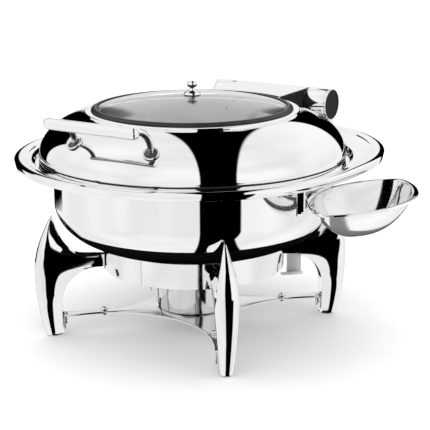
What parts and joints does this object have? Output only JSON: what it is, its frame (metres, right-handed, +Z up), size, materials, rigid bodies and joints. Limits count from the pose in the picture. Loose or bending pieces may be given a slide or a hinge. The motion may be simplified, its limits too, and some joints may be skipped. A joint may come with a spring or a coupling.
{
  "type": "round chafer with hinged lid",
  "caption": "Round buffet chafer: hinged dome lid with glass window, food and water pans, legged stand, fuel holder, spoon rest.",
  "frame": {"origin": "on the pan's vertical axis, at table level in the middle of the four feet", "axes": "+Z up, -Y towards the handle and the user, +Y towards the lid hinge, +X towards the spoon rest"},
  "size_m": [0.583, 0.5458, 0.3589],
  "materials": {
    "polished_steel": "mirror-polished stainless steel sheet",
    "cast_leg": "mirror-polished casting",
    "band_steel": "fine satin strip",
    "pan_steel": "satin deep-drawn pan",
    "plain_steel": "plain mill finish",
    "fastener": "bright machined",
    "rubber_pad": "matt black",
    "seal_rubber": "dark grey silicone",
    "dark_plastic": "black moulded",
    "bush_brass": "sintered bronze",
    "window_glass": "clear tempered glass"
  },
  "bodies": {
    "stand": {"support_ring": "band_steel", "leg_front_left": "cast_leg", "leg_front_right": "cast_leg", "leg_rear_right": "cast_leg", "leg_rear_left": "cast_leg", "leg_screws": "fastener", "foot_pads": "rubber_pad", "burner_shelf": "polished_steel", "shelf_tab_screws": "fastener", "shelf_dome_nuts": "fastener", "hanging_bracket": "polished_steel"},
    "fuel_burner": {"fuel_holder": "polished_steel", "holder_handle": "polished_steel", "holder_rivets": "fastener", "holder_cover": "polished_steel", "damper_rivet": "fastener"},
    "damper": {"flame_damper": "polished_steel"},
    "water_pan": {"water_pan": "polished_steel", "hinge_backing_plate": "plain_steel", "hinge_bracket_left": "polished_steel", "hinge_bracket_right": "polished_steel", "hinge_bracket_bolts": "fastener", "hinge_shaft": "plain_steel", "hinge_end_rings": "polished_steel", "hinge_end_discs": "dark_plastic", "spoon_bracket": "polished_steel", "spoon_bracket_bolts": "fastener", "spoon_rest": "polished_steel", "spoon_rest_arm": "polished_steel", "spoon_rest_screws": "fastener"},
    "food_pan": {"food_pan": "pan_steel"},
    "lid": {"lid_dome": "polished_steel", "window_bezel": "polished_steel", "window_gasket": "seal_rubber", "window_glass": "window_glass", "knob_base": "polished_steel", "knob_ball": "polished_steel", "knob_washer": "seal_rubber", "knob_nut": "fastener", "hinge_arm": "polished_steel", "hinge_arm_bolts": "fastener", "hinge_barrel": "polished_steel", "hinge_bushes": "bush_brass", "lid_damper": "dark_plastic", "handle_grip": "polished_steel", "handle_post_left": "cast_leg", "handle_post_right": "cast_leg", "handle_bosses": "polished_steel", "handle_screws": "fastener"}
  },
  "joints": [
    {"name": "water_pan_lift", "type": "slide", "parent": "stand", "child": "water_pan", "axis": [0, 0, 1], "range_m": [0, 0.08]},
    {"name": "lid_hinge", "type": "hinge", "parent": "water_pan", "child": "lid", "pos_m": [0, 0.232, 0.299], "axis": [-1, 0, 0], "range_deg": [0, 90]},
    {"name": "food_pan_lift", "type": "slide", "parent": "water_pan", "child": "food_pan", "axis": [0, 0, 1], "range_m": [0, 0.02]},
    {"name": "burner_lift", "type": "slide", "parent": "stand", "child": "fuel_burner", "axis": [0, 0, 1], "range_m": [0, 0.02]},
    {"name": "flame_damper_swivel", "type": "hinge", "parent": "fuel_burner", "child": "damper", "pos_m": [-0.038, 0, 0.0946], "axis": [0, 0, 1], "range_deg": [0, 100]}
  ]
}
